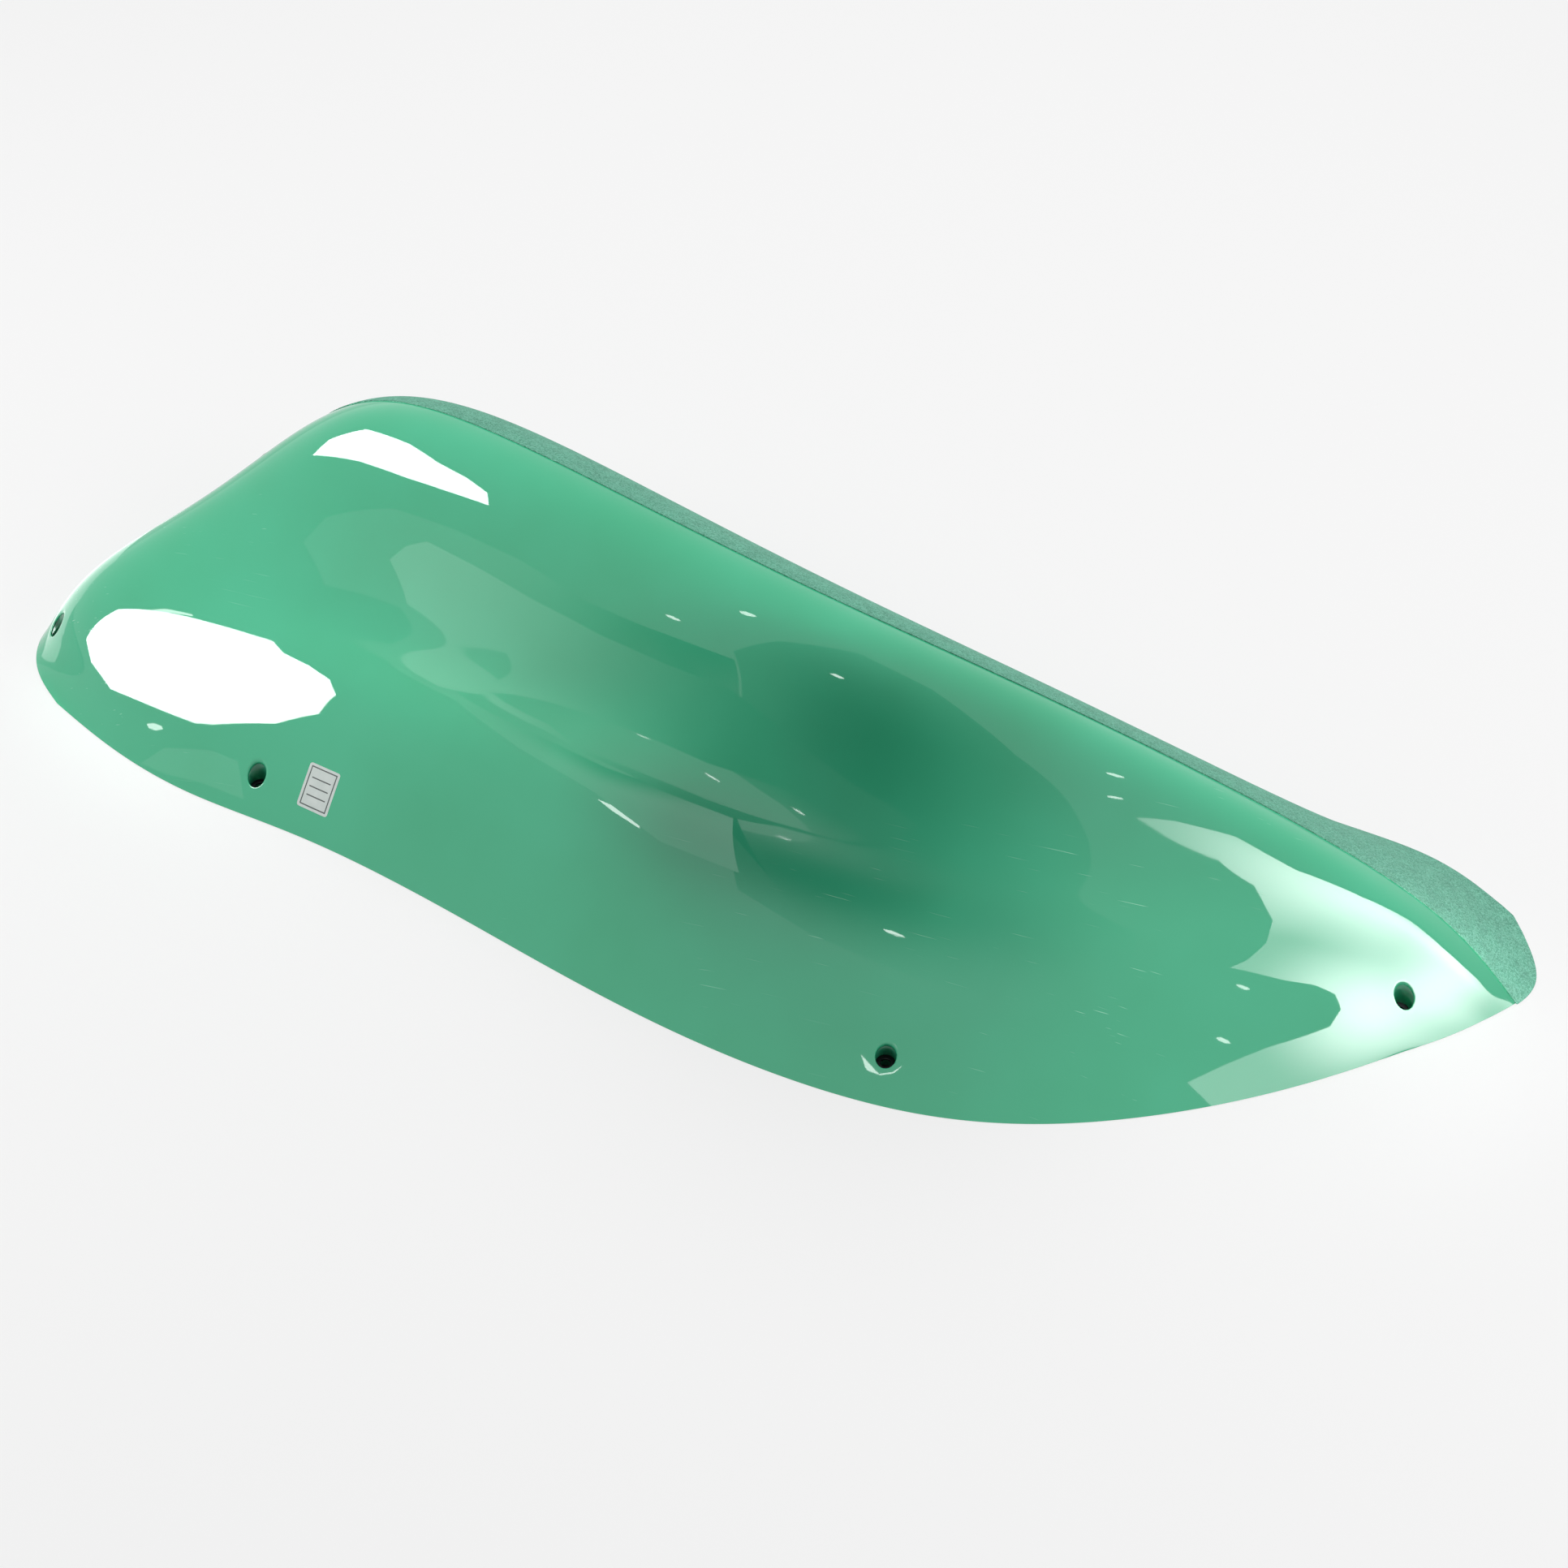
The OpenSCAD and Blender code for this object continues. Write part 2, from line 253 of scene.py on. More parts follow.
# A flag, a dark oval card held over the scoop, keeps the top light off its middle
flag_place = (0.100, -0.062, 0.175)
flag_half_sizes = (0.17, 0.095, 1)
flag_turn = math.radians(-14)
bpy.ops.object.select_all(action="DESELECT")
bpy.ops.mesh.primitive_circle_add(vertices=48, radius=1, fill_type="NGON", location=flag_place)
flag = bpy.context.object
flag.name = "flag"
flag.scale = flag_half_sizes
flag.rotation_euler = (0, 0, flag_turn)
flag.visible_camera = flag.visible_glossy = flag.visible_transmission = False
# The same black also paints shade on the discs under the screw holes
flag_and_shade_disc_paint, tree = new_material("black_flag_cloth_and_painted_shade")
shader = add_node(tree, "ShaderNodeBsdfPrincipled", {"Base Color": colour("#101010"), "Roughness": 1.0})
add_node(tree, "ShaderNodeOutputMaterial", {}, {"Surface": shader.outputs[0]})
flag.data.materials.append(flag_and_shade_disc_paint)
# Two domes: a near one shows only in the gloss, and a pale far one shows only behind the table
for name, radius, strength in (("white_room", 3.6, 1.35), ("pale_backdrop", 27, 0.745)):
    bpy.ops.object.select_all(action="DESELECT")
    bpy.ops.mesh.primitive_uv_sphere_add(segments=48, ring_count=24, radius=radius)
    room = bpy.context.object
    room.name = name
    room.visible_camera = name == "pale_backdrop"
    room.visible_glossy = not room.visible_camera
    room.visible_diffuse = room.visible_shadow = room.visible_transmission = False
    paint, tree = new_material(name + "_light")
    glow = add_node(tree, "ShaderNodeEmission", {"Color": (1, 1, 1, 1), "Strength": strength})
    add_node(tree, "ShaderNodeOutputMaterial", {}, {"Surface": glow.outputs[0]})
    room.data.materials.append(paint)

# Body surface. The macro is moulded in one female mould, so every layer of it follows the same
# face. Eight long rails, in mm, shape that face, and a cubic B-spline pulls them smooth.
near_rim = [(-560, -36, 0), (-500, -66, 0), (-425, -90, 0), (-330, -98, 0), (-205, -130, 0),
            (-30, -186, 0), (155, -208, 0), (290, -162, 0), (390, -102, 0), (450, -54, 0)]
near_side = [(-595, -10, 0), (-535, -25, 25), (-445, -55, 30), (-340, -65, 30), (-200, -105, 30),
             (-30, -150, 25), (140, -165, 25), (290, -125, 20), (400, -70, 20), (470, -39, 0)]
near_lip = [(-610, 30, 0), (-575, 10, 60), (-465, -10, 75), (-345, -10, 75), (-195, -40, 85),
            (-20, -90, 75), (140, -105, 50), (300, -65, 50), (415, -35, 40), (486, -25, 0)]
scoop = [(-590, 75, 0), (-560, 60, 85), (-470, 35, 85), (-370, 40, 75), (-195, 25, 65),
         (-10, -5, 50), (150, -30, 40), (310, -10, 60), (425, -10, 50), (495, -16, 0)]
inner_slope = [(-535, 135, 0), (-515, 115, 95), (-445, 90, 105), (-365, 100, 130), (-190, 75, 105),
               (-15, 50, 80), (150, 30, 70), (315, 30, 75), (440, 5, 55), (501, -10, 0)]
crest = [(-480, 185, 0), (-465, 175, 105), (-415, 165, 170), (-345, 160, 200), (-180, 130, 175),
         (-15, 105, 145), (150, 85, 120), (320, 55, 85), (458, 17, 55), (507, -4, 0)]
far_side = [(-435, 220, 0), (-430, 225, 75), (-380, 240, 135), (-300, 240, 145), (-155, 205, 120),
            (-10, 175, 90), (155, 140, 70), (325, 105, 50), (461, 74, 30), (537, 29, 0)]
far_rim = [(-395, 240, 0), (-355, 260, 0), (-315, 270, 0), (-235, 270, 0), (-120, 250, 0),
           (15, 220, 0), (175, 185, 0), (335, 130, 0), (450, 125, 0), (506, 81, 0)]
centring = (38, -36, 0)
rails = (np.array([near_rim, near_side, near_lip, scoop, inner_slope, crest, far_side, far_rim], float)
         + centring) / 1000
net = np.concatenate([[2 * rails[0] - rails[1]], rails, [2 * rails[-1] - rails[-2]]])
net = np.concatenate([2 * net[:, :1] - net[:, 1:2], net, 2 * net[:, -1:] - net[:, -2:-1]], 1)
# The grit starts at the seam, just past the crest, at this share of the way over
seam = 5.3 / 7


def weights(t):
    return np.stack([(1 - t) ** 3, 3 * t ** 3 - 6 * t ** 2 + 4,
                     -3 * t ** 3 + 3 * t ** 2 + 3 * t + 1, t ** 3], -1) / 6


def slopes(t):
    return np.stack([-3 * (1 - t) ** 2, 9 * t ** 2 - 12 * t, -9 * t ** 2 + 6 * t + 3, 3 * t ** 2], -1) / 6


def outward(along, over):
    """Unit vector straight out of the face."""
    n = np.cross(along, over)
    return n / np.linalg.norm(n, axis=-1, keepdims=True)


def on_face(u, v):
    """Point of the face and its two derivatives, u along the rails and v across them, both 0 to 1."""
    u, v = np.clip(np.broadcast_arrays(u, v), 0, 1)
    su, sv = u * 9, v * 7
    iu, iv = np.minimum(su.astype(int), 8), np.minimum(sv.astype(int), 6)
    tu, tv = su - iu, sv - iv
    reach = np.arange(4)
    part = net[(iv[..., None] + reach)[..., :, None], (iu[..., None] + reach)[..., None, :]]
    point = np.einsum("...a,...b,...abc->...c", weights(tv), weights(tu), part)
    along = np.einsum("...a,...b,...abc->...c", weights(tv), slopes(tu), part) * 9
    over = np.einsum("...a,...b,...abc->...c", slopes(tv), weights(tu), part) * 7
    return point, along, over


def under_face(u, v, depth):
    """Point at a depth in metres under the face. Near the rim the step turns level, so the rim stays flat."""
    level_below = 0.025
    end, side = 1 / 63, 0.035
    point = on_face(u, v)[0]
    n = outward(*on_face(np.clip(u, end, 1 - end), np.clip(v, side, 1 - side))[1:])
    rise = np.minimum(1, np.maximum(point[..., 2], 0) / level_below)
    m = n * np.stack([np.ones_like(rise), np.ones_like(rise), rise], -1)
    m /= np.linalg.norm(m, axis=-1, keepdims=True)
    return point - m * depth / (m * n).sum(-1, keepdims=True)


def place_on_face(xy, start):
    """Face coordinates (u, v) straight above points of the wall, by Newton steps from start."""
    longest_step = 0.05
    uv = np.array(np.broadcast_to(start, xy.shape), float)
    for step in range(12):
        point, along, over = on_face(uv[..., 0], uv[..., 1])
        miss = xy - point[..., :2]
        area = along[..., 0] * over[..., 1] - along[..., 1] * over[..., 0]
        du = (miss[..., 0] * over[..., 1] - miss[..., 1] * over[..., 0]) / area
        dv = (along[..., 0] * miss[..., 1] - along[..., 1] * miss[..., 0]) / area
        uv += np.clip(np.stack([du, dv], -1), -longest_step, longest_step)
        uv = np.clip(uv, 0, 1)
    return uv


def nearest_on_face(xy):
    """Face coordinates (u, v) of the grid point that stands nearest over a point of the wall."""
    grid_u, grid_v = np.meshgrid(np.linspace(0, 1, 200), np.linspace(0, 1, 100), indexing="ij")
    grid = on_face(grid_u, grid_v)[0]
    at = np.unravel_index(np.hypot(grid[..., 0] - xy[0], grid[..., 1] - xy[1]).argmin(), grid_u.shape)
    return grid_u[at], grid_v[at]


well_centres = (np.array([(-580, 16), (-376, -71), (122, -169), (442, -27), (300, 125), (140, 160),
                          (-150, 222), (-462, 158)], float) + centring[:2]) / 1000


def moulded_layer(name, us, vs, outer, inner, outer_well, inner_well):
    """A closed skin between two depths, over grid lines us and vs. It has a round opening at each well, given
    as opening radius, roll radius and wall below the roll, and the skin rolls down into it."""
    well_in_reach, margin, lowest, lowest_wall = 0.006, 0.004, 0.0004, 0.0002
    roll_turns = np.radians([12, 24, 36, 48, 60, 72, 82, 90])
    nu, nv = len(us), len(vs)
    uu, vv = np.meshgrid(us, vs, indexing="ij")
    flat_uv = np.stack([uu, vv], -1)
    face = on_face(uu, vv)[0]
    cut = np.zeros((nu - 1, nv - 1), bool)
    blocks = []
    for centre in well_centres:
        gap = np.hypot(face[..., 0] - centre[0], face[..., 1] - centre[1])
        ci, cj = np.unravel_index(gap.argmin(), gap.shape)
        if gap[ci, cj] > well_in_reach:
            continue
        reach = max(outer_well[0] + outer_well[1], inner_well[0] + inner_well[1]) + margin
        a, b, c, d = ci, ci, cj, cj
        while gap[a, c:d + 1].min() < reach and a > 0 or a == ci:
            a -= 1
        while gap[b, c:d + 1].min() < reach and b < nu - 1 or b == ci:
            b += 1
        while gap[a:b + 1, c].min() < reach and c > 0 or c == cj:
            c -= 1
        while gap[a:b + 1, d].min() < reach and d < nv - 1 or d == cj:
            d += 1
        cut[a:b, c:d] = True
        loop = ([(i, c) for i in range(a, b)] + [(b, j) for j in range(c, d)]
                + [(i, d) for i in range(b, a, -1)] + [(a, j) for j in range(d, c, -1)])
        blocks.append((centre, np.array(loop), flat_uv[ci, cj]))
    verts, faces, skins = [], [], []
    for depth, (radius, roll, wall), outward in ((outer, outer_well, True), (inner, inner_well, False)):
        base = sum(len(x) for x in verts)
        verts.append(under_face(uu, vv, depth).reshape(-1, 3))
        at = base + np.arange(nu * nv).reshape(nu, nv)
        keep = ~cut
        quads = np.stack([at[:-1, :-1], at[1:, :-1], at[1:, 1:], at[:-1, 1:]], -1)[keep]
        faces += (quads if outward else quads[:, ::-1]).tolist()
        ends = []
        for centre, loop, near in blocks:
            loop_uv = flat_uv[loop[:, 0], loop[:, 1]]
            loop_at = at[loop[:, 0], loop[:, 1]]
            plan = face[loop[:, 0], loop[:, 1], :2] - centre
            angle = np.unwrap(np.arctan2(plan[:, 1], plan[:, 0]))
            even = angle[0] + np.arange(len(loop)) / len(loop) * 2 * np.pi * np.sign(angle[-1] - angle[0])
            even += (angle - even).mean()
            ray = np.stack([np.cos(even), np.sin(even)], -1)
            rim_uv = place_on_face(centre + ray * (radius + roll), near)
            rings = []
            for t in (0.4, 0.7, 0.88, 1.0):
                uv = loop_uv + (rim_uv - loop_uv) * t
                rings.append(under_face(uv[:, 0], uv[:, 1], depth))
            for turn in roll_turns if roll > 0 else ():
                uv = place_on_face(centre + ray * (radius + roll * (1 - np.sin(turn))), near)
                ring = under_face(uv[:, 0], uv[:, 1], depth)
                ring[:, :2] = centre + ray * (radius + roll * (1 - np.sin(turn)))
                ring[:, 2] = np.maximum(ring[:, 2] - roll * (1 - np.cos(turn)), lowest)
                rings.append(ring)
            if wall > 0:
                ring = rings[-1].copy()
                ring[:, 2] = np.maximum(ring[:, 2] - wall, lowest_wall)
                rings.append(ring)
            previous = loop_at
            for ring in rings:
                new = sum(len(x) for x in verts) + np.arange(len(ring))
                verts.append(ring)
                after, new_after = np.roll(previous, -1), np.roll(new, -1)
                band = np.stack([previous, after, new_after, new], -1)
                faces += (band if outward else band[:, ::-1]).tolist()
                previous = new
            ends.append(previous)
        skins.append((at, ends))
    (top, top_ends), (low, low_ends) = skins
    for a, b in zip(top_ends, low_ends):
        faces += np.stack([a, np.roll(a, -1), np.roll(b, -1), b], -1).tolist()
    edge = np.concatenate([top[:-1, 0], top[-1, :-1], top[:0:-1, -1], top[0, :0:-1]])
    edge_low = np.concatenate([low[:-1, 0], low[-1, :-1], low[:0:-1, -1], low[0, :0:-1]])
    faces += np.stack([np.roll(edge, -1), edge, edge_low, np.roll(edge_low, -1)], -1).tolist()
    piece = add_mesh(name, np.concatenate(verts).tolist(), [], faces)
    piece.data.validate()
    skin = bmesh.new()
    skin.from_mesh(piece.data)
    bmesh.ops.remove_doubles(skin, verts=skin.verts, dist=1e-6)
    bmesh.ops.recalc_face_normals(skin, faces=skin.faces)
    skin.to_mesh(piece.data)
    skin.free()
    bpy.ops.object.shade_smooth_by_angle(angle=math.radians(40))
    return piece


# Gelcoat. Sea-green polyester gelcoat is sprayed into the polished mould first, so it comes out
# glossy, with a soft roll into each screw well, a slow change of tint and faint handling scratches.
gelcoat_thickness = 0.0008
mouth_radius = 0.0070
gloss_roll, gloss_wall = 0.0018, 0.002
gelcoat_skin = moulded_layer("gelcoat_skin", np.linspace(0, 1, 291),
                             np.concatenate([np.linspace(0, seam, 113), np.linspace(seam, 1, 37)[1:]]),
                             0.0, gelcoat_thickness, (mouth_radius, gloss_roll, gloss_wall),
                             (mouth_radius, gloss_roll, 0.0))
gelcoat_finish, tree = new_material("gloss_sea_green_polyester_gelcoat")
place = add_node(tree, "ShaderNodeTexCoord")
# The sprayed film varies slowly in depth, which shifts the green by a few percent over 150 mm
cloud = add_node(tree, "ShaderNodeTexNoise", {"Scale": 7.0, "Detail": 3.0, "Roughness": 0.5},
                 {"Vector": place.outputs["Object"]})
green = add_node(tree, "ShaderNodeValToRGB", {}, {"Fac": cloud.outputs["Fac"]})
green.color_ramp.elements[0].position = 0.30
green.color_ramp.elements[0].color = colour("#31ae7f")
green.color_ramp.elements[1].position = 0.70
green.color_ramp.elements[1].color = colour("#3ab78a")
# Fine scratches from handling: thin lines about 0.3 mm wide and some 30 mm long, in patches
turned = add_node(tree, "ShaderNodeMapping", {"Rotation": (0, 0, math.radians(-12)), "Scale": (22, 900, 300)},
                  {"Vector": place.outputs["Object"]})
lines = add_node(tree, "ShaderNodeTexNoise", {"Scale": 1.0, "Detail": 1.0}, {"Vector": turned.outputs[0]})
scratch = add_node(tree, "ShaderNodeMapRange", {"From Min": 0.74, "From Max": 0.80},
                   {"Value": lines.outputs["Fac"]})
patches = add_node(tree, "ShaderNodeTexNoise", {"Scale": 5.0, "Detail": 1.0},
                   {"Vector": place.outputs["Object"]})
worn = add_node(tree, "ShaderNodeMapRange", {"From Min": 0.52, "From Max": 0.66},
                {"Value": patches.outputs["Fac"]})
marks = add_node(tree, "ShaderNodeMath", {"operation": "MULTIPLY"},
                 {0: scratch.outputs[0], 1: worn.outputs[0]})
tint = add_node(tree, "ShaderNodeMix", {"data_type": "RGBA"}, {"Factor": marks.outputs[0]})
tree.links.new(green.outputs["Color"], tint.inputs[6])
tint.inputs[7].default_value = colour("#7fcfae")
# A cloth-polished gloss, duller where it is scratched
polish = add_node(tree, "ShaderNodeTexNoise", {"Scale": 40.0, "Detail": 2.0},
                  {"Vector": place.outputs["Object"]})
rough = add_node(tree, "ShaderNodeMapRange", {"To Min": 0.025, "To Max": 0.065},
                 {"Value": polish.outputs["Fac"]})
rough_all = add_node(tree, "ShaderNodeMath", {"operation": "MULTIPLY_ADD", 1: 0.25},
                     {0: marks.outputs[0], 2: rough.outputs[0]})
# Long low waves of a hand-faired mould, 60 mm apart and a few hundredths of a millimetre deep
waves = add_node(tree, "ShaderNodeTexNoise", {"Scale": 16.0, "Detail": 1.0},
                 {"Vector": place.outputs["Object"]})
fairing = add_node(tree, "ShaderNodeBump", {"Strength": 0.35, "Distance": 0.0006},
                   {"Height": waves.outputs["Fac"]})
nick = add_node(tree, "ShaderNodeBump", {"Strength": 0.25, "Distance": 0.0001},
                {"Height": marks.outputs[0], "Normal": fairing.outputs[0]})
shader = add_node(tree, "ShaderNodeBsdfPrincipled", {"IOR": 1.54},
                  {"Base Color": tint.outputs[2], "Roughness": rough_all.outputs[0],
                   "Normal": nick.outputs[0]})
add_node(tree, "ShaderNodeOutputMaterial", {}, {"Surface": shader.outputs[0]})
gelcoat_skin.data.materials.append(gelcoat_finish)
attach(gelcoat_skin, "root")
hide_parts("gelcoat")

# Grit coat. Fine sand is broadcast into a second coat of the same green on the far slope, masked off
# along the seam. It stands a little proud there and looks duller and greyer than the gloss.
grit_thickness = 0.0008
grit_roll, grit_wall = 0.0012, 0.0015
grit_coat = moulded_layer("sand_coat", np.linspace(0, 1, 401), np.linspace(seam, 1, 67), -grit_thickness, 0.0,
                          (mouth_radius, grit_roll, grit_wall), (mouth_radius, grit_roll, 0.0))
grit_finish, tree = new_material("sea_green_gelcoat_with_broadcast_sand")
place = add_node(tree, "ShaderNodeTexCoord")
# Grains stand about 0.8 mm apart, each a little lighter or darker than the next
grains = add_node(tree, "ShaderNodeTexVoronoi", {"Scale": 1250.0, "Randomness": 1.0},
                  {"Vector": place.outputs["Object"]})
one_grain = add_node(tree, "ShaderNodeSeparateColor", {}, {"Color": grains.outputs["Color"]})
shade = add_node(tree, "ShaderNodeValToRGB", {}, {"Fac": one_grain.outputs[0]})
shade.color_ramp.elements[0].position = 0.0
shade.color_ramp.elements[0].color = colour("#338469")
shade.color_ramp.elements[1].position = 1.0
shade.color_ramp.elements[1].color = colour("#68b49a")
middle = shade.color_ramp.elements.new(0.22)
middle.color = colour("#44967a")
# Clumps of sand about 10 mm wide, where the broadcast fell thicker
clump = add_node(tree, "ShaderNodeTexNoise", {"Scale": 90.0, "Detail": 5.0, "Roughness": 0.65},
                 {"Vector": place.outputs["Object"]})
dust = add_node(tree, "ShaderNodeMapRange",
                {"From Min": 0.3, "From Max": 0.7, "To Min": 0.86, "To Max": 1.12},
                {"Value": clump.outputs["Fac"]})
paler = add_node(tree, "ShaderNodeHueSaturation", {"Saturation": 0.9},
                 {"Color": shade.outputs["Color"], "Value": dust.outputs[0]})
bulk = add_node(tree, "ShaderNodeBump", {"Strength": 0.5, "Distance": 0.0012},
                {"Height": clump.outputs["Fac"]})
pebble = add_node(tree, "ShaderNodeBump", {"Strength": 0.7, "Distance": 0.0006, "invert": True},
                  {"Height": grains.outputs["Distance"], "Normal": bulk.outputs[0]})
shader = add_node(tree, "ShaderNodeBsdfPrincipled", {"Roughness": 0.75, "IOR": 1.50},
                  {"Base Color": paler.outputs[0], "Normal": pebble.outputs[0]})
add_node(tree, "ShaderNodeOutputMaterial", {}, {"Surface": shader.outputs[0]})
grit_coat.data.materials.append(grit_finish)
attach(grit_coat, "root")
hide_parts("grit_coat")

# Laminate. Layers of chopped-strand glass mat are wetted out with resin by hand behind the gelcoat.
# The back shows the strands, green through the resin, with fillets round the wells.
laminate_back = 0.0050
tube_radius = 0.0100
tube_fillet = 0.0050
laminate = moulded_layer("hand_laid_laminate", np.linspace(0, 1, 181), np.linspace(0, 1, 83),
                         gelcoat_thickness, laminate_back, (tube_radius, 0.0, 0.0),
                         (tube_radius, tube_fillet, 0.0))
laminate_finish, tree = new_material("hand_laid_chopped_strand_glass_laminate")
place = add_node(tree, "ShaderNodeTexCoord")
# Strands are bundles 0.5 mm wide and up to 50 mm long that lie every way, drawn 1.4 mm wide to show
strands = []
for turn in (18, 75, 132):
    way = add_node(tree, "ShaderNodeMapping",
                   {"Rotation": (0, 0, math.radians(turn)), "Scale": (45, 700, 45)},
                   {"Vector": place.outputs["Object"]})
    strands.append(add_node(tree, "ShaderNodeTexNoise", {"Scale": 1.0, "Detail": 2.0, "Distortion": 0.4},
                            {"Vector": way.outputs[0]}))
two = add_node(tree, "ShaderNodeMath", {"operation": "MAXIMUM"},
               {0: strands[0].outputs["Fac"], 1: strands[1].outputs["Fac"]})
mat_height = add_node(tree, "ShaderNodeMath", {"operation": "MAXIMUM"},
                      {0: two.outputs[0], 1: strands[2].outputs["Fac"]})
resin = add_node(tree, "ShaderNodeTexNoise", {"Scale": 22.0, "Detail": 4.0},
                 {"Vector": place.outputs["Object"]})
wet = add_node(tree, "ShaderNodeValToRGB", {}, {"Fac": mat_height.outputs[0]})
wet.color_ramp.elements[0].position = 0.50
wet.color_ramp.elements[0].color = colour("#6f9a80")
wet.color_ramp.elements[1].position = 0.74
wet.color_ramp.elements[1].color = colour("#b4c6a8")
pools = add_node(tree, "ShaderNodeMix", {"data_type": "RGBA", "blend_type": "MULTIPLY", 0: 0.55})
tree.links.new(wet.outputs["Color"], pools.inputs[6])
amber = add_node(tree, "ShaderNodeValToRGB", {}, {"Fac": resin.outputs["Fac"]})
amber.color_ramp.elements[0].position = 0.35
amber.color_ramp.elements[0].color = colour("#a3b283")
amber.color_ramp.elements[1].position = 0.65
amber.color_ramp.elements[1].color = colour("#f4f4ea")
tree.links.new(amber.outputs["Color"], pools.inputs[7])
gloss = add_node(tree, "ShaderNodeMapRange",
                 {"From Min": 0.35, "From Max": 0.65, "To Min": 0.25, "To Max": 0.55},
                 {"Value": resin.outputs["Fac"]})
lumps = add_node(tree, "ShaderNodeBump", {"Strength": 0.8, "Distance": 0.002},
                 {"Height": resin.outputs["Fac"]})
fibres = add_node(tree, "ShaderNodeBump", {"Strength": 0.6, "Distance": 0.0006},
                  {"Height": mat_height.outputs[0], "Normal": lumps.outputs[0]})
shader = add_node(tree, "ShaderNodeBsdfPrincipled", {"IOR": 1.54},
                  {"Base Color": pools.outputs[2], "Roughness": gloss.outputs[0],
                   "Normal": fibres.outputs[0]})
add_node(tree, "ShaderNodeOutputMaterial", {}, {"Surface": shader.outputs[0]})
laminate.data.materials.append(laminate_finish)
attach(laminate, "root")
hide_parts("laminate")

# Screw wells. Each is a tube moulded into the shell, glossy inside, with a rounded corner at its floor
# and one screw hole. It is turned from its half section and cut off slantwise inside the shell.
well_finish, tree = new_material("gelcoat_lined_screw_well")
place = add_node(tree, "ShaderNodeTexCoord")
# The gelcoat lining is painted darker than the face, as painted shade in the deep well; it is never polished,
# so it is patchy in its gloss
depth = add_node(tree, "ShaderNodeTexNoise", {"Scale": 60.0, "Detail": 3.0},
                 {"Vector": place.outputs["Object"]})
painted_shade_lining = add_node(tree, "ShaderNodeValToRGB", {}, {"Fac": depth.outputs["Fac"]})
painted_shade_lining.color_ramp.elements[0].color = colour("#17644a")
painted_shade_lining.color_ramp.elements[1].color = colour("#288a67")
dust = add_node(tree, "ShaderNodeMapRange", {"To Min": 0.12, "To Max": 0.32}, {"Value": depth.outputs["Fac"]})
ripple = add_node(tree, "ShaderNodeBump", {"Strength": 0.2, "Distance": 0.0005},
                  {"Height": depth.outputs["Fac"]})
shader = add_node(tree, "ShaderNodeBsdfPrincipled", {"IOR": 1.54},
                  {"Base Color": painted_shade_lining.outputs["Color"], "Roughness": dust.outputs[0],
                   "Normal": ripple.outputs[0]})
add_node(tree, "ShaderNodeOutputMaterial", {}, {"Surface": shader.outputs[0]})


def turned_piece(name, section, centre, steps):
    """A ring turned about an upright line through centre from a closed half section of (radius, height)."""
    count = len(section)
    piece = add_mesh(name, [(r, 0, z) for r, z in section], [(k, (k + 1) % count) for k in range(count)], [])
    bpy.ops.object.mode_set(mode="EDIT")
    bpy.ops.mesh.select_all(action="SELECT")
    bpy.ops.mesh.spin(steps=steps, angle=2 * math.pi, center=(0, 0, 0), axis=(0, 0, 1))
    bpy.ops.mesh.select_all(action="SELECT")
    bpy.ops.mesh.remove_doubles(threshold=1e-6)
    bpy.ops.mesh.normals_make_consistent(inside=False)
    bpy.ops.transform.translate(value=(centre[0], centre[1], 0))
    bpy.ops.object.mode_set(mode="OBJECT")
    bpy.ops.object.shade_smooth_by_angle(angle=math.radians(35))
    return piece


hole_radius = 0.0034
well_floor = 0.0060
floor_corner = [(mouth_radius, 0.0073), (0.00675, 0.0065), (0.0062, well_floor)]
spare_height = 0.004
cut_depth = 0.0022
for k, centre in enumerate(well_centres, 1):
    low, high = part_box(f"screw_well_{k}")
    top = high.z + spare_height
    section = [(hole_radius, 0.0), (tube_radius, 0.0), (tube_radius, top), (mouth_radius, top), *floor_corner,
               (hole_radius, well_floor)]
    well = turned_piece(f"moulded_well_{k}", section, centre, 64)
    point, along, over = on_face(*nearest_on_face(centre))
    n = outward(along, over)
    bpy.ops.object.mode_set(mode="EDIT")
    bpy.ops.mesh.select_all(action="SELECT")
    bpy.ops.mesh.bisect(plane_co=(point - n * cut_depth).tolist(), plane_no=n.tolist(), use_fill=True,
                        clear_outer=True)
    bpy.ops.object.mode_set(mode="OBJECT")
    well.data.materials.append(well_finish)
    well.data.materials.append(laminate_finish)
    # The outside of the tube is bare laminate
    for face in well.data.polygons:
        if math.hypot(face.center.x - centre[0], face.center.y - centre[1]) > tube_radius - 0.0005:
            face.material_index = 1
    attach(well, "root")
    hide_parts(f"screw_well_{k}")
# A black disc under each screw hole is painted shade: it stands in for the shade at the bottom of the hole,
# and it keeps the lit table from glowing up through it
disc_radius = 0.007
disc_drop = 0.0005
bpy.ops.object.select_all(action="DESELECT")
for centre in well_centres:
    bpy.ops.mesh.primitive_circle_add(vertices=24, radius=disc_radius, fill_type="NGON",
                                      location=(centre[0], centre[1], -disc_drop))
    disc = bpy.context.object
    disc.name = "painted_shade_disc"
    disc.data.materials.append(flag_and_shade_disc_paint)

